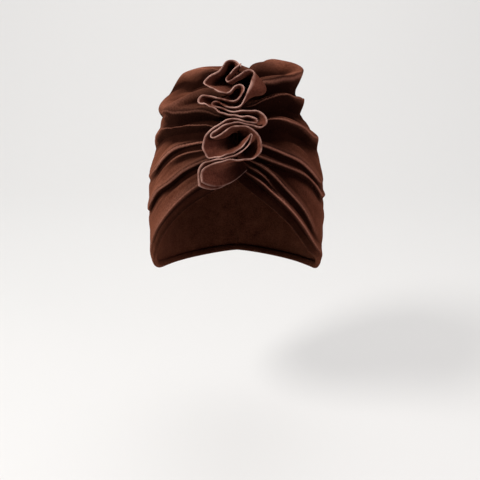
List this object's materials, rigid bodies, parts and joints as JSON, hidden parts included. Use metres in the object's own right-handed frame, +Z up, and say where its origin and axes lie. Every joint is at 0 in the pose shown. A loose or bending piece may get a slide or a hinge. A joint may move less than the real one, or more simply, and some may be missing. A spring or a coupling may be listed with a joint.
{
  "type": "turban headwrap",
  "caption": "Soft turban headwrap of stretch velour with a gathered crown, a turned-in hem and a standing ruffle down its front.",
  "frame": {"origin": "middle of the head opening, at the height of the hem beside the ears", "axes": "+Z up along the head, the face towards -Y, +X to the viewer's right"},
  "size_m": [0.1637, 0.2155, 0.206],
  "materials": {
    "crown_velour": "dark brown stretch velour with a short pile, soft sheen and mottled nap",
    "hem_velour": "the same velour turned in over the edge as a soft rolled hem",
    "ruffle_velour": "the same velour in single layers with a raw cut edge that shows paler"
  },
  "bodies": {
    "root": {"crown_panel_left": "crown_velour", "crown_panel_right": "crown_velour", "hem_band": "hem_velour", "ruffle_left": "ruffle_velour", "ruffle_right": "ruffle_velour"}
  },
  "joints": []
}
